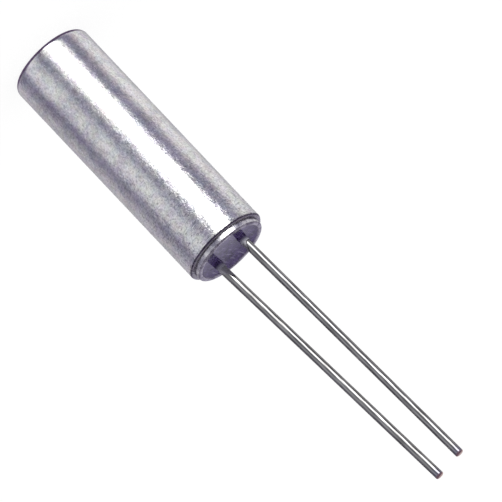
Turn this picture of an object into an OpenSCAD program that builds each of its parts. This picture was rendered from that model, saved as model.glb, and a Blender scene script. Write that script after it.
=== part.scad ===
// Cylindrical quartz crystal unit with two wire leads, standing on its closed end.
// Millimetres, +Z along the leads, origin in the middle of the closed end's flat face.

/* [Can] */
// Outside diameter of the drawn can
can_d = 3; // [2.8:0.05:3.3]
// Length of the can, from its closed end to its mouth
can_h = 9; // [8.6:0.05:10]
// Thickness of the can's side wall
can_wall = 0.15; // [0.12:0.01:0.18]
// Thickness of the can's closed end
can_end_t = 0.17; // [0.12:0.01:0.3]
// Radius round the outside of the closed end
can_edge_r = 0.27; // [0.15:0.01:0.4]
// Radius in the inside corner of the closed end
can_corner_r = 0.17; // [0.05:0.01:0.2]
// Radius on the outside of the can's mouth
can_lip_r = 0.1; // [0.05:0.01:0.11]
// Chamfer on the inside of the can's mouth, which guides the ring in
can_mouth_c = 0.03; // [0.01:0.01:0.04]

/* [Header ring] */
// Radial thickness of the ring that is pressed into the can
ring_wall = 0.18; // [0.16:0.01:0.24]
// Length of the ring along its axis
ring_h = 1.25; // [1:0.05:1.6]
// How far the ring stands out of the can's mouth
ring_proud = 0.2; // [0.12:0.01:0.3]
// Radius round the ring's outer front edge
ring_nose_r = 0.07; // [0.05:0.01:0.11]
// Bevel on the ring's inner front edge
ring_bevel = 0.03; // [0.01:0.01:0.04]

/* [Glass seal] */
// Set-back of the glass from the ring's inner end
glass_set_back = 0.12; // [0.05:0.01:0.3]
// Depth of the middle of the glass's hollow face below the ring's front
glass_dip = 0.1; // [0.06:0.01:0.14]
// Width of the flat rim that the glass keeps at the ring and round each lead
glass_rim = 0.01; // [0.01:0.005:0.04]
// Height to which the glass climbs each lead
collar_h = 0.27; // [0.1:0.01:0.35]
// Width by which the climbing glass spreads at its foot
collar_w = 0.04; // [0.03:0.01:0.12]

/* [Leads] */
// Diameter of the lead wire
lead_d = 0.3; // [0.25:0.01:0.35]
// Distance between the two leads in the glass
lead_pitch = 1.2; // [1:0.05:1.3]
// Height of the leads' cut ends above the can's mouth
lead_reach = 10.67; // [5:0.01:15]
// Angle by which the first lead leans towards -X, in degrees
lead_a_angle = 1.95; // [0:0.05:3]
// Angle by which the second lead leans towards -X, in degrees
lead_b_angle = 3.05; // [0:0.05:4]
// Height above the glass at which a lead starts to lean
bend_h = 0.05; // [0.04:0.01:0.3]
// Chamfer that the cutter leaves on a lead's end
tip_c = 0.03; // [0.01:0.01:0.05]

/* [Flattened inner ends] */
// Length of round wire between the glass and the flattening
neck_h = 0.25; // [0.15:0.05:0.5]
// Length over which the wire goes from round to flat
taper_h = 0.35; // [0.25:0.05:0.6]
// Length of the flat paddle
paddle_h = 0.9; // [0.75:0.05:1.1]
// Width of the flat paddle
paddle_w = 0.48; // [0.4:0.02:0.6]
// Thickness of the flat paddle
paddle_t = 0.14; // [0.1:0.01:0.2]

/* [Quartz blank] */
// Length of the quartz strip
blank_l = 6.1; // [5:0.1:6.6]
// Width of the quartz strip
blank_w = 1.7; // [1.5:0.05:2]
// Thickness of the quartz strip
blank_t = 0.12; // [0.08:0.01:0.2]
// Length of the strip that lies on the paddles
blank_seat = 0.65; // [0.5:0.05:0.7]

/* [Electrodes] */
// Thickness of the metal film, thicker than a real one so that it is a solid
film_t = 0.01; // [0.005:0.005:0.02]
// Width of an electrode
electrode_w = 1.2; // [0.9:0.05:1.35]
// Length of an electrode
electrode_l = 3.4; // [2.5:0.1:4]
// Width of the tab that runs from an electrode to its lead
tab_w = 0.32; // [0.26:0.02:0.4]
// Bare quartz between a tab and the strip's edges
tab_margin = 0.06; // [0.03:0.01:0.1]

/* [Adhesive drops] */
// Diameter of a drop of conductive adhesive where it meets its paddle
drop_d = 0.68; // [0.56:0.02:0.76]
// Height of a drop above its paddle
drop_h = 0.27; // [0.24:0.01:0.32]
// Depth of a drop's middle below the held end of the strip
drop_set = 0.1; // [0.02:0.02:0.2]

/* [Hidden] */
$fn = 72;
over = 0.1;    // how far a cutting shape runs past what it cuts
melt = 0.97;   // share of its height at which a collar's hollow turns upright, so that its top edge is clean
smooth = 720;  // steps round a circle as flat as the glass's face
swell = 1.02;  // ratio of the ball that fills a lead's bend to the wire, so that it covers the notch
spare = 1.1;   // ratio by which the flattening wedge opens past the wire, so that the round part stays whole

can_r = can_d / 2;
bore_r = can_r - can_wall;
ring_bore_r = bore_r - ring_wall;
ring_top = can_h + ring_proud;
ring_base = ring_top - ring_h;

glass_base = ring_base + glass_set_back;
glass_edge = ring_top - ring_bevel;
glass_face = ring_top - glass_dip;

lead_r = lead_d / 2;
lead_top = can_h + lead_reach;
collar_top = glass_face + collar_h;
bend_z = collar_top + bend_h;
taper_top = glass_base - neck_h;
paddle_top = taper_top - taper_h;
paddle_base = paddle_top - paddle_h;

blank_top = paddle_base + blank_seat;
blank_base = blank_top - blank_l;
blank_back = -paddle_t / 2 - film_t;
blank_front = blank_back - blank_t;

// Half section of a turned solid with both outer corners rounded
module turned_section(r, h, base_r, top_r) {
    square([r - base_r, h / 2]);
    translate([0, h / 2])
        square([r - top_r, h / 2]);
    translate([0, base_r])
        square([r, h - base_r - top_r]);
    translate([r - base_r, base_r])
        circle(base_r);
    translate([r - top_r, h - top_r])
        circle(top_r);
}

// Drawn can: closed at the base, its mouth opened a little for the ring
module can() {
    color("gainsboro")
        rotate_extrude()
            difference() {
                turned_section(can_r, can_h, can_edge_r, can_lip_r);
                translate([0, can_end_t])
                    turned_section(bore_r, can_h, can_corner_r, can_corner_r);
                translate([0, can_h - can_mouth_c])
                    polygon([[0, 0], [bore_r, 0], [bore_r + can_mouth_c + over, can_mouth_c + over],
                             [0, can_mouth_c + over]]);
            }
}

// Ring pressed into the can, with a rounded nose and a bevelled bore
module header_ring() {
    color("lightsteelblue")
        translate([0, 0, ring_base])
            rotate_extrude()
                difference() {
                    turned_section(bore_r, ring_h, ring_bevel, ring_nose_r);
                    translate([0, -over])
                        square([ring_bore_r, ring_h + 2 * over]);
                    translate([0, ring_h - ring_bevel])
                        polygon([[0, 0], [ring_bore_r, 0],
                                 [ring_bore_r + ring_bevel + over, ring_bevel + over],
                                 [0, ring_bevel + over]]);
                }
}

// Glass between the ring and the leads: its hollow face climbs to the ring, and a collar up each lead
module glass_seal() {
    face_w = ring_bore_r - glass_rim;
    sag = glass_edge - glass_face;
    face_r = (pow(face_w, 2) + pow(sag, 2)) / (2 * sag);
    color([0.3, 0.27, 0.38])
        difference() {
            union() {
                rotate_extrude()
                    difference() {
                        translate([0, glass_base])
                            square([ring_bore_r, glass_edge - glass_base]);
                        translate([0, glass_face + face_r])
                            circle(face_r, $fn = smooth);
                    }
                for (side = [-1, 1])
                    translate([side * lead_pitch / 2, 0, glass_face])
                        lead_collar();
            }
            for (side = [-1, 1])
                translate([side * lead_pitch / 2, 0, glass_base - over])
                    cylinder(h = collar_top - glass_base + 2 * over, r = lead_r);
        }
}

// Hollow-sided collar that the glass forms round a lead
module lead_collar() {
    top_r = lead_r + glass_rim;
    hollow_r = (pow(collar_w, 2) + pow(collar_h, 2)) / (2 * collar_w);
    rotate_extrude()
        difference() {
            translate([0, -over])
                square([top_r + collar_w, collar_h + over]);
            translate([top_r + hollow_r, collar_h * melt])
                circle(hollow_r);
        }
}

// One lead: its inner end, a ball that fills the bend, and the straight free length
module lead(side, angle) {
    free_l = (lead_top - bend_z) / cos(angle);
    translate([side * lead_pitch / 2, 0, 0]) {
        inner_end();
        translate([0, 0, bend_z]) {
            sphere(lead_r * swell);
            rotate([0, -angle, 0])
                rotate_extrude()
                    polygon([[0, 0], [lead_r, 0], [lead_r, free_l - tip_c], [lead_r - tip_c, free_l],
                             [0, free_l]]);
        }
    }
}

// Wire that comes down through the glass and spreads into a flat paddle with a round tip
module inner_end() {
    half_w = paddle_w / 2;
    half_t = paddle_t / 2;
    full_t = lead_r * spare;
    intersection() {
        rotate_extrude()
            polygon([[0, paddle_base], [half_w, paddle_base], [half_w, paddle_top], [lead_r, taper_top],
                     [lead_r, bend_z], [0, bend_z]]);
        rotate([90, 0, 90])
            linear_extrude(paddle_w + over, center = true)
                polygon([[-half_t, paddle_base - over], [half_t, paddle_base - over], [half_t, paddle_top],
                         [full_t, taper_top], [full_t, bend_z + over], [-full_t, bend_z + over],
                         [-full_t, taper_top], [-half_t, paddle_top]]);
        rotate([90, 0, 0])
            linear_extrude(paddle_w + over, center = true)
                translate([0, paddle_base + half_w]) {
                    circle(half_w);
                    translate([-half_w - over, 0])
                        square([paddle_w + 2 * over, bend_z - paddle_base]);
                }
    }
}

module lead_a() {
    color("silver")
        lead(-1, lead_a_angle);
}

module lead_b() {
    color("silver")
        lead(1, lead_b_angle);
}

// Strip of quartz that lies on the two paddles
module quartz_blank() {
    color([0.85, 0.92, 0.95, 0.6])
        translate([-blank_w / 2, blank_front, blank_base])
            cube([blank_w, blank_t, blank_l]);
}

// Metal film on one face of the strip, with its tab on the side of its own lead
module electrode(side) {
    tab_edge = blank_w / 2 - tab_margin;
    centre = (blank_base + blank_top) / 2;
    tab_x = side > 0 ? tab_edge - tab_w : -tab_edge;
    translate([-electrode_w / 2, 0, centre - electrode_l / 2])
        cube([electrode_w, film_t, electrode_l]);
    translate([tab_x, 0, centre])
        cube([tab_w, film_t, blank_top - tab_margin - centre]);
}

module front_electrode() {
    color("whitesmoke")
        translate([0, blank_front - film_t, 0])
            electrode(-1);
}

module back_electrode() {
    color("whitesmoke")
        translate([0, blank_back, 0])
            electrode(1);
}

// Drop of adhesive over a paddle and the strip's held end
module joint(side) {
    foot_r = drop_d / 2;
    ball_r = (pow(foot_r, 2) + pow(drop_h, 2)) / (2 * drop_h);
    face = -paddle_t / 2;
    difference() {
        translate([side * lead_pitch / 2, face, blank_top - drop_set])
            intersection() {
                translate([0, ball_r - drop_h, 0])
                    sphere(ball_r);
                translate([-drop_d, -drop_d, -drop_d])
                    cube([2 * drop_d, drop_d, 2 * drop_d]);
            }
        quartz_blank();
        front_electrode();
        back_electrode();
    }
}

module joint_a() {
    color("darkgray")
        joint(-1);
}

module joint_b() {
    color("darkgray")
        joint(1);
}

can();
header_ring();
glass_seal();
lead_a();
lead_b();
quartz_blank();
front_electrode();
back_electrode();
joint_a();
joint_b();
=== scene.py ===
from math import cos, pi, radians, sin, sqrt

import bmesh
import bpy
from mathutils import Matrix, Vector


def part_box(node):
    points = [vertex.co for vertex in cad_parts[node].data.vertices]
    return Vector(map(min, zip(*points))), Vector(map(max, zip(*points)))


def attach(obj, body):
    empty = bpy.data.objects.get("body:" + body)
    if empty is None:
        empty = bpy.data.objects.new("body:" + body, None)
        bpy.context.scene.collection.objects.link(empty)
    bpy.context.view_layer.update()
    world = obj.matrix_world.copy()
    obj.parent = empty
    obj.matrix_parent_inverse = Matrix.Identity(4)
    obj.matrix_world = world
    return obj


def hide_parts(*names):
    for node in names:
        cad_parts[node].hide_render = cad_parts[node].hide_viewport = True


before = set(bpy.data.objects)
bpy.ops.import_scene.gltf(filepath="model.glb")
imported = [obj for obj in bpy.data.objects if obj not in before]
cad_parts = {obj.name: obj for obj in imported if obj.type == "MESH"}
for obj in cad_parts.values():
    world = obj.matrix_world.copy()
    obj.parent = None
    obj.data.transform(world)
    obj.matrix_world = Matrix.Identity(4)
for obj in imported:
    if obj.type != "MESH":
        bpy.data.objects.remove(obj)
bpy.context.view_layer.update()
mm = 0.001
weld = 1e-7    # metres, points closer than this become one
hardEdge = 32    # degrees, a sharper edge stays a crease
leadPitch, leadRadius = 1.2, 0.15    # millimetres, shared by the glass and both leads
print("frame loaded:", len(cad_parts), "nodes")


def sizesOf(node):
    low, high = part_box(node)
    return low / mm, high / mm    # corners in millimetres


def turned(section, steps, closed=False):
    # spins a half section, radius and height in millimetres, once round the can's axis
    bm = bmesh.new()
    verts = [bm.verts.new((r * mm, 0, z * mm)) for r, z in section]
    pairs = list(zip(verts, verts[1:] + verts[:1])) if closed else list(zip(verts, verts[1:]))
    edges = [bm.edges.new(pair) for pair in pairs]
    bmesh.ops.spin(bm, geom=verts + edges, cent=(0, 0, 0), axis=(0, 0, 1), angle=2 * pi, steps=steps,
                   use_merge=True)
    bmesh.ops.remove_doubles(bm, verts=bm.verts, dist=weld)
    bmesh.ops.recalc_face_normals(bm, faces=bm.faces)
    return bm


def roundEdge(bm, r, z, radius, segments):
    # rounds the circle of edges at radius r and height z
    near = 0.002 * mm
    edges = [e for e in bm.edges
             if all(abs(v.co.xy.length - r * mm) < near and abs(v.co.z - z * mm) < near for v in e.verts)]
    bmesh.ops.bevel(bm, geom=edges, offset=radius * mm, offset_type="OFFSET", segments=segments, profile=0.5,
                    affect="EDGES", material=-1)


def combined(bm, tool, operation):
    # one solid made of two by an exact boolean
    solids = []
    for part in (bm, tool):
        mesh = bpy.data.meshes.new("part")
        part.to_mesh(mesh)
        part.free()
        solids.append(bpy.data.objects.new("part", mesh))
        bpy.context.scene.collection.objects.link(solids[-1])
    step = solids[0].modifiers.new("combine", "BOOLEAN")
    step.operation, step.solver, step.object = operation, "EXACT", solids[1]
    bpy.context.view_layer.update()
    result = bmesh.new()
    result.from_object(solids[0], bpy.context.evaluated_depsgraph_get())
    for solid in solids:
        bpy.data.objects.remove(solid)
    bmesh.ops.remove_doubles(result, verts=result.verts, dist=2 * weld)
    return result


def addObject(name, bm, material):
    mesh = bpy.data.meshes.new(name)
    bm.to_mesh(mesh)
    bm.free()
    mesh.materials.append(material)
    item = bpy.data.objects.new(name, mesh)
    bpy.context.scene.collection.objects.link(item)
    return item


def makePiece(name, bm, node, material):
    for face in bm.faces:
        face.smooth = True
    for edge in bm.edges:
        edge.smooth = edge.calc_face_angle(0) < radians(hardEdge)
    piece = addObject(name, bm, material)
    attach(piece, "root")
    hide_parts(node)
    print("made", name, len(piece.data.polygons), "faces")


def linear(hexColour):
    # sRGB hex colour to linear values
    parts = [int(hexColour[i:i + 2], 16) / 255 for i in (1, 3, 5)]
    return tuple(p / 12.92 if p <= 0.04045 else ((p + 0.055) / 1.055) ** 2.4 for p in parts) + (1.0,)


def newMaterial(name):
    material = bpy.data.materials.new(name)
    material.use_nodes = True
    material.node_tree.nodes.clear()
    return material, material.node_tree


def addNode(tree, kind, inputs=None, **settings):
    node = tree.nodes.new(kind)
    for key, value in settings.items():
        setattr(node, key, value)
    for key, value in (inputs or {}).items():
        if isinstance(value, bpy.types.NodeSocket):
            tree.links.new(value, node.inputs[key])
        else:
            node.inputs[key].default_value = value
    return node


colourA, colourB, mixed = 6, 7, 2    # a colour Mix node's two inputs and its output


def perMetre(sizeInMm):
    return 1 / (sizeInMm * mm)    # noise scale that gives features of this size


# sizes are in millimetres; a Cut is the stretch of a noise that a pattern uses, a Share is how strong it
# gets, and a Band is where a change starts and where it is complete, in millimetres below the mouth
canFinish = {
    "light": "#F3F2F1", "dark": "#C4C1C9", "cloud": 0.22, "cloudCut": (0.34, 0.66),
    "blotch": 0.9, "blotchCut": (0.35, 0.65), "blotchShare": 0.65, "mouthLift": 0.4,
    "green": "#C8D8C8", "rose": "#DFC9D2", "warm": "#DBD7C6", "cool": "#C8C6DF",
    "hue": 0.3, "hueCut": (0.4, 0.6), "hueShare": 0.5,
    # real pits and dust are about 0.03 mm, drawn coarser so that they show
    "fleck": 0.075, "fleckCut": (0.5, 0.3), "fleckShare": 0.55, "fleckTone": "#76747E",
    "glintCut": (0.53, 0.7), "glintShare": 0.7, "glintTone": "#FFFFFF",
    # the plating's grain is about 0.01 mm, drawn at 0.055 so that it shows
    "grain": 0.055, "grainCut": (0.3, 0.7), "grainDepth": 0.0045, "smoothest": 0.06, "roughest": 0.14,
    "dent": 0.15, "dentDepth": 0.009, "reliefGain": (0.35, 1.4),
    "stroke": 0.04, "strokeLength": 0.15, "strokeDepth": 0.0034, "strokeHeights": (3.5, 8.6),
    "strokeGain": (0.5, 3.0), "scuffCut": (0.46, 0.3), "scuffShare": 0.23, "scuffTone": "#62606C",
    "trimBand": (0.06, 0.02), "trimRoughness": 0.2, "cutBand": (0.04, 0.03), "cutMetal": 0.74,
    # the last band darkens the trimmed lip: painted shade
    "lipPaintedShadeBand": (0.115, 0.085), "lipPaintedShadeShare": 0.5, "lipPaintedShadeTone": "#55525E"}


def makeCanMaterial():
    # nickel plated, deep drawn nickel silver: a soft mirror, cloudy and grained, with more scuffs near the
    # mouth and a rough lip where it was trimmed, darkened there by painted shade
    s = canFinish
    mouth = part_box("can")[1].z
    material, tree = newMaterial("platedDrawnCan")
    place = addNode(tree, "ShaderNodeTexCoord").outputs["Object"]
    height = addNode(tree, "ShaderNodeSeparateXYZ", {"Vector": place}).outputs["Z"]

    # tone: fine clouds over broad blotches, lighter towards the mouth
    cloud = addNode(tree, "ShaderNodeTexNoise", {
        "Vector": place, "Scale": perMetre(s["cloud"]), "Detail": 4.0, "Roughness": 0.6})
    shade = addNode(tree, "ShaderNodeMapRange", {
        "Value": cloud.outputs["Fac"], "From Min": s["cloudCut"][0], "From Max": s["cloudCut"][1]})
    blotch = addNode(tree, "ShaderNodeTexNoise", {
        "Vector": place, "Scale": perMetre(s["blotch"]), "Detail": 3.0})
    patches = addNode(tree, "ShaderNodeMapRange", {
        "Value": blotch.outputs["Fac"], "From Min": s["blotchCut"][0], "From Max": s["blotchCut"][1],
        "To Min": -s["blotchShare"], "To Max": s["blotchShare"]})
    lifted = addNode(tree, "ShaderNodeMapRange", {
        "Value": height, "From Max": mouth, "To Min": -s["mouthLift"] / 2, "To Max": s["mouthLift"] / 2})
    patched = addNode(tree, "ShaderNodeMath", {0: patches.outputs[0], 1: lifted.outputs[0]},
                      operation="ADD")
    worn = addNode(tree, "ShaderNodeMath", {0: shade.outputs[0], 1: patched.outputs[0]},
                   operation="ADD", use_clamp=True)
    base = addNode(tree, "ShaderNodeMix", {
        "Factor": worn.outputs[0], colourA: linear(s["dark"]), colourB: linear(s["light"])},
        data_type="RGBA")

    # hue: faint green to rose patches and warm to cool ones, half of each
    hueNoise = addNode(tree, "ShaderNodeTexNoise", {
        "Vector": place, "Scale": perMetre(s["hue"]), "Detail": 3.0})
    hueParts = addNode(tree, "ShaderNodeSeparateColor", {"Color": hueNoise.outputs["Color"]})
    hues = []
    for part, first, second in (("Green", "green", "rose"), ("Blue", "warm", "cool")):
        span = addNode(tree, "ShaderNodeMapRange", {
            "Value": hueParts.outputs[part], "From Min": s["hueCut"][0], "From Max": s["hueCut"][1]})
        hues.append(addNode(tree, "ShaderNodeMix", {
            "Factor": span.outputs[0], colourA: linear(s[first]), colourB: linear(s[second])},
            data_type="RGBA").outputs[mixed])
    hue = addNode(tree, "ShaderNodeMix", {"Factor": 0.5, colourA: hues[0], colourB: hues[1]},
                  data_type="RGBA")
    tinted = addNode(tree, "ShaderNodeMix", {
        "Factor": s["hueShare"], colourA: base.outputs[mixed], colourB: hue.outputs[mixed]},
        data_type="RGBA")

    # dark flecks and bright glints, the two ends of one fine noise
    fleck = addNode(tree, "ShaderNodeTexNoise", {
        "Vector": place, "Scale": perMetre(s["fleck"]), "Detail": 3.0, "Roughness": 0.7})
    dust = addNode(tree, "ShaderNodeMapRange", {
        "Value": fleck.outputs["Fac"], "From Min": s["fleckCut"][0], "From Max": s["fleckCut"][1],
        "To Max": s["fleckShare"]})
    flecked = addNode(tree, "ShaderNodeMix", {
        "Factor": dust.outputs[0], colourA: tinted.outputs[mixed], colourB: linear(s["fleckTone"])},
        data_type="RGBA")
    glint = addNode(tree, "ShaderNodeMapRange", {
        "Value": fleck.outputs["Fac"], "From Min": s["glintCut"][0], "From Max": s["glintCut"][1],
        "To Max": s["glintShare"]})
    colour = addNode(tree, "ShaderNodeMix", {
        "Factor": glint.outputs[0], colourA: flecked.outputs[mixed], colourB: linear(s["glintTone"])},
        data_type="RGBA")

    # gloss: grained, and dull on the trimmed lip
    grain = addNode(tree, "ShaderNodeTexNoise", {
        "Vector": place, "Scale": perMetre(s["grain"]), "Detail": 2.0, "Roughness": 0.6})
    gloss = addNode(tree, "ShaderNodeMapRange", {
        "Value": grain.outputs["Fac"], "From Min": s["grainCut"][0], "From Max": s["grainCut"][1],
        "To Min": s["smoothest"], "To Max": s["roughest"]})
    trimmed = addNode(tree, "ShaderNodeMapRange", {
        "Value": height, "From Min": mouth - s["trimBand"][0] * mm,
        "From Max": mouth - s["trimBand"][1] * mm, "To Max": s["trimRoughness"]})
    rough = addNode(tree, "ShaderNodeMath", {0: gloss.outputs[0], 1: trimmed.outputs[0]},
                    operation="MAXIMUM")

    # relief: dents, then short strokes, then grit, all deeper towards the mouth
    coarser = addNode(tree, "ShaderNodeMapRange", {
        "Value": height, "From Max": mouth, "To Min": s["reliefGain"][0], "To Max": s["reliefGain"][1]})
    pressed = addNode(tree, "ShaderNodeMapRange", {
        "Value": height, "From Min": s["strokeHeights"][0] * mm, "From Max": s["strokeHeights"][1] * mm,
        "To Min": s["strokeGain"][0], "To Max": s["strokeGain"][1]})
    dents = addNode(tree, "ShaderNodeTexNoise", {
        "Vector": place, "Scale": perMetre(s["dent"]), "Detail": 2.0})
    deepDents = addNode(tree, "ShaderNodeMath", {0: dents.outputs["Fac"], 1: coarser.outputs[0]},
                        operation="MULTIPLY")
    dented = addNode(tree, "ShaderNodeBump", {
        "Height": deepDents.outputs[0], "Distance": s["dentDepth"] * mm})
    squeezed = addNode(tree, "ShaderNodeMapping", {"Vector": place, "Scale": (
        perMetre(s["strokeLength"]), perMetre(s["strokeLength"]), perMetre(s["stroke"]))})
    strokes = addNode(tree, "ShaderNodeTexNoise", {
        "Vector": squeezed.outputs[0], "Scale": 1.0, "Detail": 2.0, "Roughness": 0.5})
    deeper = addNode(tree, "ShaderNodeMath", {0: strokes.outputs["Fac"], 1: pressed.outputs[0]},
                     operation="MULTIPLY")
    relief = addNode(tree, "ShaderNodeBump", {
        "Height": deeper.outputs[0], "Distance": s["strokeDepth"] * mm, "Normal": dented.outputs[0]})
    grit = addNode(tree, "ShaderNodeMath", {0: grain.outputs["Fac"], 1: coarser.outputs[0]},
                   operation="MULTIPLY")
    bump = addNode(tree, "ShaderNodeBump", {
        "Height": grit.outputs[0], "Distance": s["grainDepth"] * mm, "Normal": relief.outputs[0]})

    # the strokes are also darker, the trimmed mouth is less metallic, and its lip is darkened by painted
    # shade
    scuffs = addNode(tree, "ShaderNodeMapRange", {
        "Value": strokes.outputs["Fac"], "From Min": s["scuffCut"][0], "From Max": s["scuffCut"][1],
        "To Max": s["scuffShare"]})
    marks = addNode(tree, "ShaderNodeMath", {0: scuffs.outputs[0], 1: pressed.outputs[0]},
                    operation="MULTIPLY", use_clamp=True)
    scuffed = addNode(tree, "ShaderNodeMix", {
        "Factor": marks.outputs[0], colourA: colour.outputs[mixed], colourB: linear(s["scuffTone"])},
        data_type="RGBA")
    cut = addNode(tree, "ShaderNodeMapRange", {
        "Value": height, "From Min": mouth - s["cutBand"][0] * mm,
        "From Max": mouth - s["cutBand"][1] * mm, "To Min": 1.0, "To Max": s["cutMetal"]})
    lipShadeMask = addNode(tree, "ShaderNodeMapRange", {
        "Value": height, "From Min": mouth - s["lipPaintedShadeBand"][0] * mm,
        "From Max": mouth - s["lipPaintedShadeBand"][1] * mm, "To Max": s["lipPaintedShadeShare"]})
    lipShaded = addNode(tree, "ShaderNodeMix", {
        "Factor": lipShadeMask.outputs[0], colourA: scuffed.outputs[mixed], colourB: linear(s["lipPaintedShadeTone"])},
        data_type="RGBA")
    shader = addNode(tree, "ShaderNodeBsdfPrincipled", {
        "Base Color": lipShaded.outputs[mixed], "Metallic": cut.outputs[0], "Roughness": rough.outputs[0],
        "Normal": bump.outputs[0]})
    addNode(tree, "ShaderNodeOutputMaterial", {"Surface": shader.outputs[0]})
    return material


# tumbling marks are about 0.01 mm, and the grain is drawn at 0.05 so that it shows
ringFinish = {
    "light": "#DDDBDE", "dark": "#9F9BA6", "cloud": 0.16, "cloudCut": (0.36, 0.62),
    "grain": 0.05, "grainDepth": 0.004, "roughness": 0.25, "noseRoughness": 0.34, "noseMetal": 0.86,
    "noseBand": (0.08, 0.04)}    # millimetres below the ring's front


def makeRingMaterial():
    # nickel plated steel, blanked and tumbled: duller and greyer than the can, most so on its worn nose
    s = ringFinish
    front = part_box("header_ring")[1].z
    noseStart, noseEnd = front - s["noseBand"][0] * mm, front - s["noseBand"][1] * mm
    material, tree = newMaterial("platedSteelRing")
    place = addNode(tree, "ShaderNodeTexCoord").outputs["Object"]
    grain = addNode(tree, "ShaderNodeTexNoise", {
        "Vector": place, "Scale": perMetre(s["grain"]), "Detail": 4.0})
    cloud = addNode(tree, "ShaderNodeTexNoise", {
        "Vector": place, "Scale": perMetre(s["cloud"]), "Detail": 3.0})
    shade = addNode(tree, "ShaderNodeMapRange", {
        "Value": cloud.outputs["Fac"], "From Min": s["cloudCut"][0], "From Max": s["cloudCut"][1]})
    colour = addNode(tree, "ShaderNodeMix", {
        "Factor": shade.outputs[0], colourA: linear(s["dark"]), colourB: linear(s["light"])},
        data_type="RGBA")
    height = addNode(tree, "ShaderNodeSeparateXYZ", {"Vector": place}).outputs["Z"]
    rough = addNode(tree, "ShaderNodeMapRange", {
        "Value": height, "From Min": noseStart, "From Max": noseEnd,
        "To Min": s["roughness"], "To Max": s["noseRoughness"]})
    bump = addNode(tree, "ShaderNodeBump", {
        "Height": grain.outputs["Fac"], "Distance": s["grainDepth"] * mm})
    metal = addNode(tree, "ShaderNodeMapRange", {
        "Value": height, "From Min": noseStart, "From Max": noseEnd, "To Min": 1.0,
        "To Max": s["noseMetal"]})
    shader = addNode(tree, "ShaderNodeBsdfPrincipled", {
        "Base Color": colour.outputs[mixed], "Metallic": metal.outputs[0], "Roughness": rough.outputs[0],
        "Normal": bump.outputs[0]})
    addNode(tree, "ShaderNodeOutputMaterial", {"Surface": shader.outputs[0]})
    return material


glassFinish = {
    "deep": "#251C3A", "pale": "#453862", "cloud": 0.22, "cloudCut": (0.36, 0.64),
    "streak": 0.05, "streakLength": 0.5, "streakTurn": 35, "streakCut": (0.56, 0.7), "streakShare": 0.8,
    "streakTone": "#7A748C", "ripple": 0.25, "rippleDepth": 0.0022, "roughness": 0.05, "index": 1.6,
    # the thin film that climbs the wires: its edge by distance from a wire's middle, its heights, and where
    # along X and in height a painted highlight lies on the first wire
    "filmTone": "#7A7886", "filmEdge": (0.23, 0.19), "filmHeights": (9.2, 9.3),
    "paintedHighlightTone": "#C2C1CB", "paintedHighlightSide": (-0.47, -0.62), "paintedHighlightHeights": (9.27, 9.38)}


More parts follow.
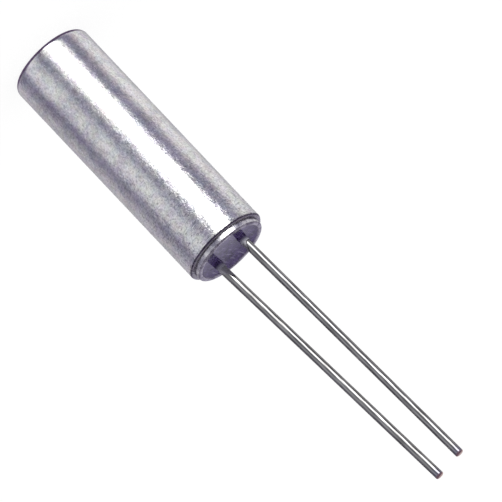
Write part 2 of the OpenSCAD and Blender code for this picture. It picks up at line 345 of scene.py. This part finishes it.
def makeGlassMaterial():
    # dark sealing glass fused in a furnace: glossy and softly rippled, with faint clouds and drawn streaks,
    # and so thin round the wires that the metal shows through
    s = glassFinish
    material, tree = newMaterial("fusedSealingGlass")
    place = addNode(tree, "ShaderNodeTexCoord").outputs["Object"]
    cloud = addNode(tree, "ShaderNodeTexNoise", {
        "Vector": place, "Scale": perMetre(s["cloud"]), "Detail": 4.0})
    ripple = addNode(tree, "ShaderNodeTexNoise", {
        "Vector": place, "Scale": perMetre(s["ripple"]), "Detail": 1.0})
    depth = addNode(tree, "ShaderNodeMapRange", {
        "Value": cloud.outputs["Fac"], "From Min": s["cloudCut"][0], "From Max": s["cloudCut"][1]})
    body = addNode(tree, "ShaderNodeMix", {
        "Factor": depth.outputs[0], colourA: linear(s["deep"]), colourB: linear(s["pale"])},
        data_type="RGBA")
    swept = addNode(tree, "ShaderNodeMapping", {
        "Vector": place, "Rotation": (0, 0, radians(s["streakTurn"])), "Scale": (
            perMetre(s["streak"]), perMetre(s["streakLength"]), perMetre(s["streakLength"]))})
    lines = addNode(tree, "ShaderNodeTexNoise", {
        "Vector": swept.outputs[0], "Scale": 1.0, "Detail": 3.0})
    streaks = addNode(tree, "ShaderNodeMapRange", {
        "Value": lines.outputs["Fac"], "From Min": s["streakCut"][0], "From Max": s["streakCut"][1],
        "To Max": s["streakShare"]})
    colour = addNode(tree, "ShaderNodeMix", {
        "Factor": streaks.outputs[0], colourA: body.outputs[mixed], colourB: linear(s["streakTone"])},
        data_type="RGBA")

    # the film round both wires, with a painted highlight on the first wire's side
    parts = addNode(tree, "ShaderNodeSeparateXYZ", {"Vector": place})
    outward = addNode(tree, "ShaderNodeMath", {0: parts.outputs["X"]}, operation="ABSOLUTE")
    fromLead = addNode(tree, "ShaderNodeMath", {0: outward.outputs[0], 1: leadPitch / 2 * mm},
                       operation="SUBTRACT")
    flatPlace = addNode(tree, "ShaderNodeCombineXYZ", {"X": fromLead.outputs[0], "Y": parts.outputs["Y"]})
    reach = addNode(tree, "ShaderNodeVectorMath", {0: flatPlace.outputs[0]}, operation="LENGTH")
    climb = addNode(tree, "ShaderNodeMapRange", {
        "Value": reach.outputs["Value"], "From Min": s["filmEdge"][0] * mm,
        "From Max": s["filmEdge"][1] * mm})
    thin = addNode(tree, "ShaderNodeMapRange", {
        "Value": parts.outputs["Z"], "From Min": s["filmHeights"][0] * mm,
        "From Max": s["filmHeights"][1] * mm})
    film = addNode(tree, "ShaderNodeMath", {0: climb.outputs[0], 1: thin.outputs[0]},
                   operation="MULTIPLY")
    highlightSide = addNode(tree, "ShaderNodeMapRange", {
        "Value": parts.outputs["X"], "From Min": s["paintedHighlightSide"][0] * mm,
        "From Max": s["paintedHighlightSide"][1] * mm})
    highlightHeight = addNode(tree, "ShaderNodeMapRange", {
        "Value": parts.outputs["Z"], "From Min": s["paintedHighlightHeights"][0] * mm,
        "From Max": s["paintedHighlightHeights"][1] * mm})
    filmPaintedLight = addNode(tree, "ShaderNodeMath", {0: highlightSide.outputs[0], 1: highlightHeight.outputs[0]},
                     operation="MULTIPLY")
    highlightedFilm = addNode(tree, "ShaderNodeMix", {
        "Factor": filmPaintedLight.outputs[0], colourA: linear(s["filmTone"]), colourB: linear(s["paintedHighlightTone"])},
        data_type="RGBA")
    thinned = addNode(tree, "ShaderNodeMix", {
        "Factor": film.outputs[0], colourA: colour.outputs[mixed], colourB: highlightedFilm.outputs[mixed]},
        data_type="RGBA")
    bump = addNode(tree, "ShaderNodeBump", {
        "Height": ripple.outputs["Fac"], "Distance": s["rippleDepth"] * mm})
    shader = addNode(tree, "ShaderNodeBsdfPrincipled", {
        "Base Color": thinned.outputs[mixed], "IOR": s["index"], "Roughness": s["roughness"],
        "Normal": bump.outputs[0]})
    addNode(tree, "ShaderNodeOutputMaterial", {"Surface": shader.outputs[0]})
    return material


# what differs between the leads: a lead's glass film ends on a slant, at the heights of filmBand
# once filmSlope times the distance from the middle is added
# the first lead's filmTone is near white, a painted highlight on its foot; the second's is the film's grey
leadA = {"side": -1, "lean": 1.95, "filmBand": (10.37, 10.5), "filmSlope": 1.54, "filmTone": "#F6F5FA"}
leadB = {"side": 1, "lean": 3.05, "filmBand": (10.25, 10.36), "filmSlope": 1.15, "filmTone": "#8C8996"}

wireFinish = {
    "tinLight": "#A09F9E", "tinDark": "#777675", "edgeTint": "#808080", "roughness": 0.03,
    # lumps of tin, at their real size
    "grain": 0.08, "grainDepth": 0.0006,
    # die lines are about 0.01 mm wide, drawn at 0.07 so that they show
    "drawn": 0.07, "drawnLength": 0.7, "drawnDepth": 0.007, "drawnCut": (0.35, 0.65),
    "tipTintHeights": (19.3, 19.6), "tipTintTone": "#86848F",
    "tipHeights": (19.63, 19.65), "tipWobble": 0.03, "burr": "#6B5460", "bare": "#CFB4AD",
    "burrReach": (-0.06, 0.04), "bareRoughness": 0.5, "bareMetal": 0.2,
    # filmShade is painted shade on the film between the leads
    "filmMetal": 0.2, "filmShade": "#64606F", "filmShadeReach": (0.54, 0.62)}


def makeWireMaterial(name, lead):
    # hot tinned wire: a clean mirror with faint lumps and die lines, a thin glass film at its foot, and
    # bare, pinkish metal where the cutter went through
    s = wireFinish
    material, tree = newMaterial(name)
    place = addNode(tree, "ShaderNodeTexCoord").outputs["Object"]
    grain = addNode(tree, "ShaderNodeTexNoise", {
        "Vector": place, "Scale": perMetre(s["grain"]), "Detail": 3.0})
    pulled = addNode(tree, "ShaderNodeMapping", {"Vector": place, "Scale": (
        perMetre(s["drawn"]), perMetre(s["drawn"]), perMetre(s["drawnLength"]))})
    dieLines = addNode(tree, "ShaderNodeTexNoise", {
        "Vector": pulled.outputs[0], "Scale": 1.0, "Detail": 2.0})
    tone = addNode(tree, "ShaderNodeMapRange", {
        "Value": dieLines.outputs["Fac"], "From Min": s["drawnCut"][0], "From Max": s["drawnCut"][1]})
    colour = addNode(tree, "ShaderNodeMix", {
        "Factor": tone.outputs[0], colourA: linear(s["tinDark"]), colourB: linear(s["tinLight"])},
        data_type="RGBA")

    # bluish grey towards the tip, and the cut end
    parts = addNode(tree, "ShaderNodeSeparateXYZ", {"Vector": place})
    tipTint = addNode(tree, "ShaderNodeMapRange", {
        "Value": parts.outputs["Z"], "From Min": s["tipTintHeights"][0] * mm,
        "From Max": s["tipTintHeights"][1] * mm})
    tipTinted = addNode(tree, "ShaderNodeMix", {
        "Factor": tipTint.outputs[0], colourA: colour.outputs[mixed], colourB: linear(s["tipTintTone"])},
        data_type="RGBA")
    wobble = addNode(tree, "ShaderNodeMath", {
        0: grain.outputs["Fac"], 1: s["tipWobble"] * mm, 2: parts.outputs["Z"]}, operation="MULTIPLY_ADD")
    tip = addNode(tree, "ShaderNodeMapRange", {
        "Value": wobble.outputs[0], "From Min": s["tipHeights"][0] * mm,
        "From Max": s["tipHeights"][1] * mm})
    torn = addNode(tree, "ShaderNodeMapRange", {
        "Value": parts.outputs["Y"], "From Min": s["burrReach"][0] * mm,
        "From Max": s["burrReach"][1] * mm})
    cut = addNode(tree, "ShaderNodeMix", {
        "Factor": torn.outputs[0], colourA: linear(s["burr"]), colourB: linear(s["bare"])},
        data_type="RGBA")
    tipped = addNode(tree, "ShaderNodeMix", {
        "Factor": tip.outputs[0], colourA: tipTinted.outputs[mixed], colourB: cut.outputs[mixed]},
        data_type="RGBA")
    rough = addNode(tree, "ShaderNodeMapRange", {
        "Value": tip.outputs[0], "To Min": s["roughness"], "To Max": s["bareRoughness"]})

    # the glass film at the foot, with painted shade between the leads, and on the first lead a painted
    # highlight
    outward = addNode(tree, "ShaderNodeMath", {0: parts.outputs["X"]}, operation="ABSOLUTE")
    slanted = addNode(tree, "ShaderNodeMath", {
        0: outward.outputs[0], 1: lead["filmSlope"], 2: parts.outputs["Z"]}, operation="MULTIPLY_ADD")
    tinned = addNode(tree, "ShaderNodeMapRange", {
        "Value": slanted.outputs[0], "From Min": lead["filmBand"][0] * mm,
        "From Max": lead["filmBand"][1] * mm, "To Min": s["filmMetal"]})
    metal = addNode(tree, "ShaderNodeMath", {
        0: tip.outputs[0], 1: s["bareMetal"] - 1, 2: tinned.outputs[0]}, operation="MULTIPLY_ADD",
        use_clamp=True)
    outsideShade = addNode(tree, "ShaderNodeMapRange", {
        "Value": outward.outputs[0], "From Min": s["filmShadeReach"][0] * mm,
        "From Max": s["filmShadeReach"][1] * mm})
    filmPaintedLight = addNode(tree, "ShaderNodeMix", {
        "Factor": outsideShade.outputs[0], colourA: linear(s["filmShade"]), colourB: linear(lead["filmTone"])},
        data_type="RGBA")
    rooted = addNode(tree, "ShaderNodeMix", {
        "Factor": tinned.outputs[0], colourA: filmPaintedLight.outputs[mixed], colourB: tipped.outputs[mixed]},
        data_type="RGBA")
    lined = addNode(tree, "ShaderNodeBump", {
        "Height": dieLines.outputs["Fac"], "Distance": s["drawnDepth"] * mm})
    bump = addNode(tree, "ShaderNodeBump", {
        "Height": grain.outputs["Fac"], "Distance": s["grainDepth"] * mm, "Normal": lined.outputs[0]})
    shader = addNode(tree, "ShaderNodeBsdfPrincipled", {
        "Base Color": rooted.outputs[mixed], "Metallic": metal.outputs[0],
        "Specular Tint": linear(s["edgeTint"]), "Roughness": rough.outputs[0], "Normal": bump.outputs[0]})
    addNode(tree, "ShaderNodeOutputMaterial", {"Surface": shader.outputs[0]})
    return material


# lapping leaves marks of about 0.02 mm, which is their size here; the adhesive's flakes are about 0.008 mm
# and are drawn at 0.03 so that they show in a close view
innerFinish = {
    "quartz": "#DDE6EA", "quartzIndex": 1.544, "quartzClear": 0.8, "quartzRoughness": (0.2, 0.36),
    "lap": 0.02, "lapDepth": 0.0008, "lapCut": (0.3, 0.7),
    "silver": "#F2EFE6", "silverDark": "#D6D2C6", "silverRoughness": (0.11, 0.24), "bloom": 0.06,
    "bloomCut": (0.3, 0.7),
    "paste": "#A9A7A4", "pasteDark": "#7C7A78", "pasteMetal": 0.6, "pasteRoughness": 0.46, "flake": 0.03,
    "flakeDepth": 0.004}


def makeQuartzMaterial():
    # synthetic quartz, sawn and lapped: clear in the mass, softly frosted all over
    s = innerFinish
    material, tree = newMaterial("lappedQuartz")
    place = addNode(tree, "ShaderNodeTexCoord").outputs["Object"]
    lap = addNode(tree, "ShaderNodeTexNoise", {
        "Vector": place, "Scale": perMetre(s["lap"]), "Detail": 4.0})
    rough = addNode(tree, "ShaderNodeMapRange", {
        "Value": lap.outputs["Fac"], "From Min": s["lapCut"][0], "From Max": s["lapCut"][1],
        "To Min": s["quartzRoughness"][0], "To Max": s["quartzRoughness"][1]})
    bump = addNode(tree, "ShaderNodeBump", {"Height": lap.outputs["Fac"], "Distance": s["lapDepth"] * mm})
    shader = addNode(tree, "ShaderNodeBsdfPrincipled", {
        "Base Color": linear(s["quartz"]), "IOR": s["quartzIndex"], "Transmission Weight": s["quartzClear"],
        "Roughness": rough.outputs[0], "Normal": bump.outputs[0]})
    addNode(tree, "ShaderNodeOutputMaterial", {"Surface": shader.outputs[0]})
    return material


def makeSilverMaterial():
    # silver evaporated in vacuum onto the frosted quartz: bright, with a faint bloom
    s = innerFinish
    material, tree = newMaterial("evaporatedSilver")
    place = addNode(tree, "ShaderNodeTexCoord").outputs["Object"]
    bloom = addNode(tree, "ShaderNodeTexNoise", {
        "Vector": place, "Scale": perMetre(s["bloom"]), "Detail": 5.0})
    colour = addNode(tree, "ShaderNodeMix", {
        "Factor": bloom.outputs["Fac"], colourA: linear(s["silverDark"]), colourB: linear(s["silver"])},
        data_type="RGBA")
    rough = addNode(tree, "ShaderNodeMapRange", {
        "Value": bloom.outputs["Fac"], "From Min": s["bloomCut"][0], "From Max": s["bloomCut"][1],
        "To Min": s["silverRoughness"][0], "To Max": s["silverRoughness"][1]})
    bump = addNode(tree, "ShaderNodeBump", {"Height": bloom.outputs["Fac"], "Distance": s["lapDepth"] * mm})
    shader = addNode(tree, "ShaderNodeBsdfPrincipled", {
        "Base Color": colour.outputs[mixed], "Metallic": 1.0, "Roughness": rough.outputs[0],
        "Normal": bump.outputs[0]})
    addNode(tree, "ShaderNodeOutputMaterial", {"Surface": shader.outputs[0]})
    return material


def makePasteMaterial():
    # cured silver filled adhesive: grey and grainy with flakes, half metallic
    s = innerFinish
    material, tree = newMaterial("silverFilledAdhesive")
    place = addNode(tree, "ShaderNodeTexCoord").outputs["Object"]
    flake = addNode(tree, "ShaderNodeTexVoronoi", {"Vector": place, "Scale": perMetre(s["flake"])})
    colour = addNode(tree, "ShaderNodeMix", {
        "Factor": flake.outputs["Distance"], colourA: linear(s["paste"]), colourB: linear(s["pasteDark"])},
        data_type="RGBA")
    bump = addNode(tree, "ShaderNodeBump", {
        "Height": flake.outputs["Distance"], "Distance": s["flakeDepth"] * mm})
    shader = addNode(tree, "ShaderNodeBsdfPrincipled", {
        "Base Color": colour.outputs[mixed], "Metallic": s["pasteMetal"], "Roughness": s["pasteRoughness"],
        "Normal": bump.outputs[0]})
    addNode(tree, "ShaderNodeOutputMaterial", {"Surface": shader.outputs[0]})
    return material


canMetal = makeCanMaterial()
ringMetal = makeRingMaterial()
sealGlass = makeGlassMaterial()
wireMetalA = makeWireMaterial("hotTinnedWireA", leadA)
wireMetalB = makeWireMaterial("hotTinnedWireB", leadB)
print("finishes ready")

# support is how far rings of faces stand from each rounding, so that the long walls shade evenly
canSizes = {
    "wall": 0.15, "endThickness": 0.17, "endEdge": 0.27, "innerCorner": 0.17, "lip": 0.08, "lipDrop": 0.022,
    "mouthChamfer": 0.004, "support": 0.02, "wallRings": 12, "steps": 160, "endEdgeSegments": 10,
    "lipSegments": 8, "cornerSegments": 4}


def makeCan():
    s = canSizes
    high = sizesOf("can")[1]
    r, top = high.x, high.z - s["lipDrop"]
    bore = r - s["wall"]
    near = s["support"]
    wallBase = s["endEdge"] + near
    wallLength = top - s["lip"] - s["endEdge"] - 3 * near
    section = [(0, 0), (r - s["endEdge"] - near, 0), (r, 0), (r, wallBase)]
    section += [(r, wallBase + wallLength * k / s["wallRings"]) for k in range(1, s["wallRings"] + 1)]
    section += [(r, top), (bore + s["mouthChamfer"], top), (bore, top - s["mouthChamfer"]),
                (bore, s["endThickness"] + s["innerCorner"] + near), (bore, s["endThickness"]),
                (bore - s["innerCorner"] - near, s["endThickness"]), (0, s["endThickness"])]
    bm = turned(section, s["steps"])
    roundEdge(bm, r, 0, s["endEdge"], s["endEdgeSegments"])
    roundEdge(bm, r, top, s["lip"], s["lipSegments"])
    roundEdge(bm, bore, s["endThickness"], s["innerCorner"], s["cornerSegments"])
    makePiece("can_shell", bm, "can", canMetal)


makeCan()

# slope is how much lower the ring's face is at its inner edge
ringSizes = {"wall": 0.18, "nose": 0.07, "noseSegments": 8, "support": 0.01, "bevel": 0.03, "slope": 0.012,
             "steps": 144}


def makeRing():
    s = ringSizes
    low, high = sizesOf("header_ring")
    r, base, top = high.x, low.z, high.z
    bore = r - s["wall"]
    bevel = s["bevel"]
    section = [(bore, base), (r - bevel, base), (r, base + bevel), (r, top - s["nose"] - s["support"]),
               (r, top), (bore + bevel, top - s["slope"]), (bore, top - s["slope"] - bevel)]
    bm = turned(section, s["steps"], closed=True)
    roundEdge(bm, r, top, s["nose"], s["noseSegments"])
    makePiece("ring_shell", bm, "header_ring", ringMetal)


makeRing()

# the face lies edgeDrop below the ring's front at its edge and dip in its middle
glassSizes = {
    "dip": 0.1, "edgeDrop": 0.03, "rim": 0.01, "faceRings": 40, "steps": 160,
    "collarHeight": 0.27, "collarWidth": 0.012, "collarRoot": 0.2, "collarRings": 24, "collarSteps": 64,
    "holeLength": 4}


def makeGlass():
    s = glassSizes
    low, high = sizesOf("glass_seal")
    r, base = high.x, low.z
    face = sizesOf("header_ring")[1].z - s["dip"]
    sag = s["dip"] - s["edgeDrop"]
    faceWidth = r - s["rim"]
    shares = [1 - k / s["faceRings"] for k in range(s["faceRings"] + 1)]
    bm = turned([(0, base), (r, base), (r, face + sag)]
                + [(faceWidth * share, face + sag * share ** 2) for share in shares], s["steps"])
    top = leadRadius + s["rim"]
    width, height = s["collarWidth"], s["collarHeight"]
    hollow = (width ** 2 + height ** 2) / (2 * width)    # radius of the collar's hollow side
    collarSection = [(0, base + s["collarRoot"]), (top + width, base + s["collarRoot"])]
    for k in range(s["collarRings"] + 1):
        climb = height * k / s["collarRings"]
        collarSection.append((top + hollow - sqrt(hollow ** 2 - (height - climb) ** 2), face + climb))
    collarSection.append((0, face + height))
    for side in (-1, 1):
        leadPlace = Vector((side * leadPitch / 2 * mm, 0, 0))
        collar = turned(collarSection, s["collarSteps"])
        bmesh.ops.translate(collar, verts=collar.verts, vec=leadPlace)
        bm = combined(bm, collar, "UNION")
        hole = bmesh.new()
        bmesh.ops.create_cone(hole, cap_ends=True, segments=s["collarSteps"], radius1=leadRadius * mm,
                              radius2=leadRadius * mm, depth=s["holeLength"] * mm,
                              matrix=Matrix.Translation(leadPlace + Vector((0, 0, face * mm))))
        bm = combined(bm, hole, "DIFFERENCE")
    makePiece("glass_body", bm, "glass_seal", sealGlass)


makeGlass()

# heights are measured from the can's closed end; the paddle is the flat inner end that holds the quartz
leadSizes = {
    "paddleBase": 6.57, "paddleTop": 7.47, "taperTop": 7.82, "taperRings": 6, "taperSpare": 1.1,
    "paddleWidth": 0.48, "paddleThickness": 0.14, "bend": 9.42, "bendSupport": 0.05, "top": 19.67,
    "tip": 0.035, "tipSegments": 4, "tipSupport": 0.01, "wireRings": 30, "steps": 48}


def makeLead(name, node, lead, metal):
    s = leadSizes
    half, r, near = s["paddleWidth"] / 2, leadRadius, s["bendSupport"]
    paddleTop, taper = s["paddleTop"], s["taperTop"] - s["paddleTop"]
    length = (s["top"] - s["bend"]) / cos(radians(lead["lean"]))
    topZ = s["bend"] + length
    tipAngles = range(6, 91, 7)    # degrees round the paddle's round tip, the last one 90
    section = [(0, s["paddleBase"])]
    section += [(half, s["paddleBase"] + half * (1 - cos(radians(a)))) for a in tipAngles]
    section += [(half, paddleTop)]
    section += [(half + (r - half) * k / s["taperRings"], paddleTop + taper * k / s["taperRings"])
                for k in range(1, s["taperRings"] + 1)]
    section += [(r, s["bend"] - near), (r, s["bend"] + near)]
    section += [(r, s["bend"] + near + (length - 4 * near) * k / s["wireRings"])
                for k in range(1, s["wireRings"] + 1)]
    section += [(r, topZ - s["tip"] - s["tipSupport"]), (r, topZ), (0, topZ)]
    bm = turned(section, s["steps"])
    roundEdge(bm, r, topZ, s["tip"], s["tipSegments"])
    for v in bm.verts:
        z = v.co.z / mm
        if z < s["taperTop"]:    # the inner end is pressed flat, with a round tip
            share = max(0, (z - paddleTop) / taper)
            limit = s["paddleThickness"] / 2 * (1 - share) + r * s["taperSpare"] * share
            v.co.y = max(-limit * mm, min(limit * mm, v.co.y))
            rise = z - s["paddleBase"]
            wide = sqrt(max(0, half ** 2 - (half - rise) ** 2)) if rise < half else half
            v.co.x = max(-wide * mm, min(wide * mm, v.co.x))
    turn = Matrix.Rotation(radians(-lead["lean"]), 3, "Y")
    bend = Vector((0, 0, s["bend"] * mm))
    for v in bm.verts:
        if v.co.z > bend.z:
            v.co = bend + turn @ (v.co - bend)
    bmesh.ops.translate(bm, verts=bm.verts, vec=(lead["side"] * leadPitch / 2 * mm, 0, 0))
    makePiece(name, bm, node, metal)


makeLead("lead_wire_a", "lead_a", leadA, wireMetalA)
makeLead("lead_wire_b", "lead_b", leadB, wireMetalB)


def finishInnerNodes():
    # the resonator sealed inside the can keeps its CAD shape
    silver, paste = makeSilverMaterial(), makePasteMaterial()
    finishes = {"quartz_blank": makeQuartzMaterial(), "front_electrode": silver, "back_electrode": silver,
                "joint_a": paste, "joint_b": paste}
    for name, material in finishes.items():
        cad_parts[name].material_slots[0].material = material
    print("inner nodes finished:", len(finishes))


finishInnerNodes()

# angles go round the object from the camera's side, positive towards -X, and colours are those of the cloth;
# the radius, heights and reaches are in metres, and a reach is measured towards the back
dome = {
    "radius": 0.4, "segments": (96, 48), "front": -107, "strength": 5.6,
    "strips": [
        (-180, "#C0C0C0"), (-167, "#58585A"), (-140, "#5A595C"), (-122, "#57565A"), (-108, "#4B4A50"),
        (-90, "#3F3E47"), (-84, "#3F3E47"), (-72, "#54535A"), (-62, "#666668"), (-45, "#6C6D6E"),
        (-34, "#636466"), (-24, "#58595F"), (-16, "#4A4B51"), (-11, "#4A4A51"), (-4, "#56565A"),
        (1, "#68696B"), (7, "#8C8D8D"), (13, "#989898"), (19.5, "#FFFFFF"), (42.5, "#FFFFFF"),
        (49, "#989898"), (56, "#6F7073"), (62, "#505159"), (72, "#45444E"), (80, "#494850"),
        (92, "#5F5D60"), (105, "#737374"), (132, "#6D6D6E"), (152, "#5F5F60"), (167, "#58585A"),
        (180, "#C0C0C0")],
    "above": [
        (-180, "#58565F"), (-169, "#504E58"), (-152, "#322E39"), (-110, "#1D1923"), (100, "#1D1923"),
        (152, "#322E39"), (169, "#504E58"), (180, "#58565F")],
    "aboveHeights": (-0.02, 0.06), "rearReach": (0.27, 0.35), "rearDrop": 0.1,
    "roofFront": "#25202C", "roofBack": "#3A3642", "roofHeights": (0.13, 0.23), "roofReach": (-0.1, 0.12),
    "underside": "#2C2432", "undersideSteepness": 2.2, "undersideReach": (0.25, 0.335)}


floorLook = {"radius": 2.0, "drop": 0.00001, "glow": 0.86, "matt": 0.16, "segments": 96}


def makeFloor():
    # white enough to meet the white room without an edge, and matt enough to keep a soft shadow
    s = floorLook
    bm = bmesh.new()
    bmesh.ops.create_circle(bm, cap_ends=True, segments=s["segments"], radius=s["radius"])
    bmesh.ops.translate(bm, verts=bm.verts, vec=(0, 0, -s["drop"]))
    material, tree = newMaterial("whiteFloor")
    glow = addNode(tree, "ShaderNodeEmission", {"Color": (1, 1, 1, 1), "Strength": s["glow"]})
    matt = addNode(tree, "ShaderNodeBsdfDiffuse", {"Color": (s["matt"], s["matt"], s["matt"], 1)})
    both = addNode(tree, "ShaderNodeAddShader", {0: glow.outputs[0], 1: matt.outputs[0]})
    addNode(tree, "ShaderNodeOutputMaterial", {"Surface": both.outputs[0]})
    floor = addObject("floor", bm, material)
    floor.visible_glossy = False    # the metal shows the dome's cloth below the floor's level


def makeDome():
    # a cloth dome seen only in reflections: grey strips at the sides, dark above, dark cloth below the back
    s = dome
    bm = bmesh.new()
    bmesh.ops.create_uvsphere(bm, u_segments=s["segments"][0], v_segments=s["segments"][1],
                              radius=s["radius"])
    material, tree = newMaterial("domeCloth")
    place = addNode(tree, "ShaderNodeTexCoord").outputs["Object"]
    turnedPlace = addNode(tree, "ShaderNodeMapping", {
        "Vector": place, "Scale": (1, -1, 1), "Rotation": (0, 0, radians(s["front"]))})
    angle = addNode(tree, "ShaderNodeTexGradient", {"Vector": turnedPlace.outputs[0]},
                    gradient_type="RADIAL")
    ramps = []
    for stops in (s["strips"], s["above"]):
        ramp = addNode(tree, "ShaderNodeValToRGB", {"Fac": angle.outputs["Fac"]})
        elements = ramp.color_ramp.elements
        while len(elements) < len(stops):
            elements.new(1.0)
        for element, (degree, colour) in zip(elements, stops):
            element.position = (degree + 180) / 360
            element.color = linear(colour)
        ramps.append(ramp.outputs["Color"])
    strips, above = ramps
    height = addNode(tree, "ShaderNodeSeparateXYZ", {"Vector": place}).outputs["Z"]
    behind = Vector((-cos(radians(s["front"])), -sin(radians(s["front"])), 0))
    rearward = addNode(tree, "ShaderNodeVectorMath", {0: place, 1: behind}, operation="DOT_PRODUCT")

    # the strips end lower at the back
    sunk = addNode(tree, "ShaderNodeMapRange", {
        "Value": rearward.outputs["Value"], "From Min": s["rearReach"][0], "From Max": s["rearReach"][1],
        "To Max": s["rearDrop"]})
    raised = addNode(tree, "ShaderNodeMath", {0: height, 1: sunk.outputs[0]}, operation="ADD")
    rising = addNode(tree, "ShaderNodeMapRange", {
        "Value": raised.outputs[0], "From Min": s["aboveHeights"][0], "From Max": s["aboveHeights"][1]},
        interpolation_type="SMOOTHSTEP")
    lower = addNode(tree, "ShaderNodeMix", {"Factor": rising.outputs[0], colourA: strips, colourB: above},
                    data_type="RGBA")

    # the roof, lighter at the back
    high = addNode(tree, "ShaderNodeMapRange", {
        "Value": height, "From Min": s["roofHeights"][0], "From Max": s["roofHeights"][1]},
        interpolation_type="SMOOTHSTEP")
    share = addNode(tree, "ShaderNodeMapRange", {
        "Value": rearward.outputs["Value"], "From Min": s["roofReach"][0], "From Max": s["roofReach"][1]},
        interpolation_type="SMOOTHSTEP")
    roof = addNode(tree, "ShaderNodeMix", {
        "Factor": share.outputs[0], colourA: linear(s["roofFront"]), colourB: linear(s["roofBack"])},
        data_type="RGBA")
    upper = addNode(tree, "ShaderNodeMix", {
        "Factor": high.outputs[0], colourA: lower.outputs[mixed], colourB: roof.outputs[mixed]},
        data_type="RGBA")

    # the dark cloth below the back
    back = (behind - Vector((0, 0, s["undersideSteepness"]))).normalized()
    under = addNode(tree, "ShaderNodeVectorMath", {0: place, 1: back}, operation="DOT_PRODUCT")
    card = addNode(tree, "ShaderNodeMapRange", {
        "Value": under.outputs["Value"], "From Min": s["undersideReach"][0],
        "From Max": s["undersideReach"][1]}, interpolation_type="SMOOTHSTEP")
    final = addNode(tree, "ShaderNodeMix", {
        "Factor": card.outputs[0], colourA: upper.outputs[mixed], colourB: linear(s["underside"])},
        data_type="RGBA")
    glow = addNode(tree, "ShaderNodeEmission", {"Color": final.outputs[mixed], "Strength": s["strength"]})
    addNode(tree, "ShaderNodeOutputMaterial", {"Surface": glow.outputs[0]})
    material.cycles.emission_sampling = "NONE"
    shell = addObject("light_dome", bm, material)
    shell.visible_camera = False
    shell.visible_diffuse = False    # matt surfaces take the plain white light of the world


def makeWorld():
    world = bpy.data.worlds.new("whiteRoom")
    world.use_nodes = True
    background = world.node_tree.nodes["Background"]
    background.inputs["Color"].default_value = (1, 1, 1, 1)
    background.inputs["Strength"].default_value = 1.0
    world.cycles.sampling_method = "NONE"
    bpy.context.scene.world = world


makeFloor()
makeDome()
makeWorld()
print("stage ready")

# angles are in degrees, the distance and clip in metres, and the lens, sensor and target in millimetres
cameraPlace = {"azimuth": -17, "elevation": 19, "roll": -46.61, "lens": 1000, "sensor": 36,
               "distance": 0.45363, "clip": (0.01, 10), "target": (-0.523, 0, 9.697)}


def makeCamera():
    s = cameraPlace
    a, e, roll = radians(s["azimuth"]), radians(s["elevation"]), radians(s["roll"])
    back = Vector((sin(a) * cos(e), -cos(a) * cos(e), sin(e)))
    upright = (Vector((0, 0, 1)) - back * back.z).normalized()
    side = back.cross(upright)
    right = upright * cos(roll) - side * sin(roll)
    up = upright * sin(roll) + side * cos(roll)
    data = bpy.data.cameras.new("camera")
    data.lens, data.sensor_width = s["lens"], s["sensor"]
    data.clip_start, data.clip_end = s["clip"]
    camera = bpy.data.objects.new("camera", data)
    bpy.context.scene.collection.objects.link(camera)
    place = Matrix((right, up, back)).transposed().to_4x4()
    place.translation = Vector(s["target"]) * mm + back * s["distance"]
    camera.matrix_world = place
    bpy.context.scene.camera = camera
    bpy.context.scene.view_settings.view_transform = "Standard"
    print("camera set")


makeCamera()
